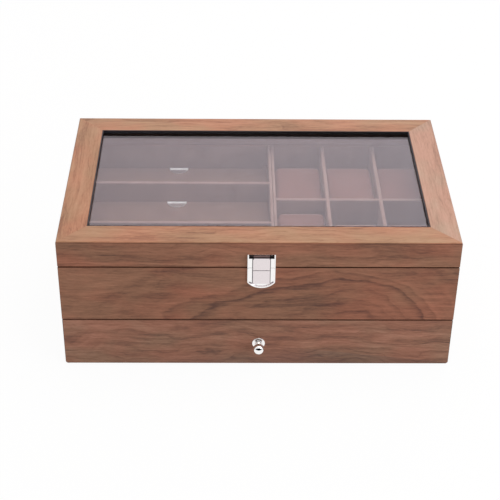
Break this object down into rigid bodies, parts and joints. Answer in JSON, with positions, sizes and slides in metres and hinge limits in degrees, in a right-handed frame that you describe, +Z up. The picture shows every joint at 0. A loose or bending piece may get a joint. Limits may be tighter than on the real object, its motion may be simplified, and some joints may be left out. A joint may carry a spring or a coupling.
{
  "type": "watch box with drawer",
  "caption": "Wooden watch box with a hinged glass-window lid, cushioned watch slots and glasses trays under it, a flap latch and a full-width drawer below.",
  "frame": {"origin": "middle of the underside of the base felt, under the middle of the case", "axes": "+X to the right, +Y to the back, +Z up, the latch and the drawer face -Y"},
  "size_m": [0.34, 0.2298, 0.1315],
  "materials": {
    "walnut_case": "satin walnut veneer",
    "walnut_lid": "satin walnut veneer",
    "walnut_drawer": "satin walnut veneer",
    "plywood": "bare",
    "felt": "felt",
    "velvet_brown": "velvet",
    "velvet_cushion": "velvet",
    "black_paint": "gloss black",
    "stained_bead": "stained",
    "glass": "clear",
    "chrome": "polished",
    "hinge_steel": "nickel plated"
  },
  "bodies": {
    "case": {"base_felt": "felt", "base_board": "plywood", "case_side_left": "walnut_case", "case_side_right": "walnut_case", "case_front": "walnut_case", "case_back": "walnut_case", "tray_floor": "plywood", "tray_lining": "velvet_brown", "centre_divider_left": "velvet_brown", "centre_divider_right": "velvet_brown", "tray_divider_front": "velvet_brown", "tray_divider_rear": "velvet_brown", "row_divider": "velvet_brown", "column_divider_1": "velvet_brown", "column_divider_2": "velvet_brown", "panel_supports": "plywood", "hinge_case_leaf_left": "hinge_steel", "hinge_case_leaf_right": "hinge_steel", "hinge_pins": "hinge_steel", "hinge_screws_case": "hinge_steel", "latch_keeper": "chrome", "latch_nails_case": "chrome"},
    "lid": {"lid_rail_front": "walnut_lid", "lid_rail_back": "walnut_lid", "lid_rail_left": "walnut_lid", "lid_rail_right": "walnut_lid", "glass_trim": "black_paint", "glass_pane": "glass", "glass_beads": "stained_bead", "lid_lining": "velvet_brown", "hinge_lid_leaf_left": "hinge_steel", "hinge_lid_leaf_right": "hinge_steel", "hinge_screws_lid": "hinge_steel", "latch_plate": "chrome", "latch_nails_lid": "chrome", "latch_pin": "chrome"},
    "latch_flap": {"latch_flap": "chrome"},
    "drawer": {"drawer_front": "walnut_drawer", "drawer_side_left": "plywood", "drawer_side_right": "plywood", "drawer_back": "plywood", "drawer_bottom": "plywood", "drawer_lining": "velvet_brown", "drawer_knob": "chrome", "knob_rosette": "chrome", "knob_screw": "hinge_steel"},
    "glasses_panel_front": {"glasses_panel_front": "velvet_brown", "panel_pull_front": "chrome"},
    "glasses_panel_middle": {"glasses_panel_middle": "velvet_brown", "panel_pull_middle": "chrome"},
    "glasses_panel_rear": {"glasses_panel_rear": "velvet_brown", "panel_pull_rear": "chrome"},
    "watch_cushion_front_1": {"watch_cushion_front_1": "velvet_cushion"},
    "watch_cushion_front_2": {"watch_cushion_front_2": "velvet_cushion"},
    "watch_cushion_front_3": {"watch_cushion_front_3": "velvet_cushion"},
    "watch_cushion_rear_1": {"watch_cushion_rear_1": "velvet_cushion"},
    "watch_cushion_rear_2": {"watch_cushion_rear_2": "velvet_cushion"},
    "watch_cushion_rear_3": {"watch_cushion_rear_3": "velvet_cushion"}
  },
  "joints": [
    {"name": "lid_hinge", "type": "hinge", "parent": "case", "child": "lid", "pos_m": [0, 0.1084, 0.106], "axis": [-1, 0, 0], "range_deg": [0, 95]},
    {"name": "latch_hinge", "type": "hinge", "parent": "lid", "child": "latch_flap", "pos_m": [0.002, -0.1087, 0.1184], "axis": [-1, 0, 0], "range_deg": [0, 120]},
    {"name": "drawer_slide", "type": "slide", "parent": "case", "child": "drawer", "axis": [0, -1, 0], "range_m": [0, 0.15]},
    {"name": "panel_lift_front", "type": "slide", "parent": "case", "child": "glasses_panel_front", "axis": [0, 0, 1], "range_m": [0, 0.025]},
    {"name": "panel_lift_middle", "type": "slide", "parent": "case", "child": "glasses_panel_middle", "axis": [0, 0, 1], "range_m": [0, 0.025]},
    {"name": "panel_lift_rear", "type": "slide", "parent": "case", "child": "glasses_panel_rear", "axis": [0, 0, 1], "range_m": [0, 0.025]},
    {"name": "cushion_lift_front_1", "type": "slide", "parent": "case", "child": "watch_cushion_front_1", "axis": [0, 0, 1], "range_m": [0, 0.025]},
    {"name": "cushion_lift_front_2", "type": "slide", "parent": "case", "child": "watch_cushion_front_2", "axis": [0, 0, 1], "range_m": [0, 0.025]},
    {"name": "cushion_lift_front_3", "type": "slide", "parent": "case", "child": "watch_cushion_front_3", "axis": [0, 0, 1], "range_m": [0, 0.025]},
    {"name": "cushion_lift_rear_1", "type": "slide", "parent": "case", "child": "watch_cushion_rear_1", "axis": [0, 0, 1], "range_m": [0, 0.025]},
    {"name": "cushion_lift_rear_2", "type": "slide", "parent": "case", "child": "watch_cushion_rear_2", "axis": [0, 0, 1], "range_m": [0, 0.025]},
    {"name": "cushion_lift_rear_3", "type": "slide", "parent": "case", "child": "watch_cushion_rear_3", "axis": [0, 0, 1], "range_m": [0, 0.025]}
  ]
}
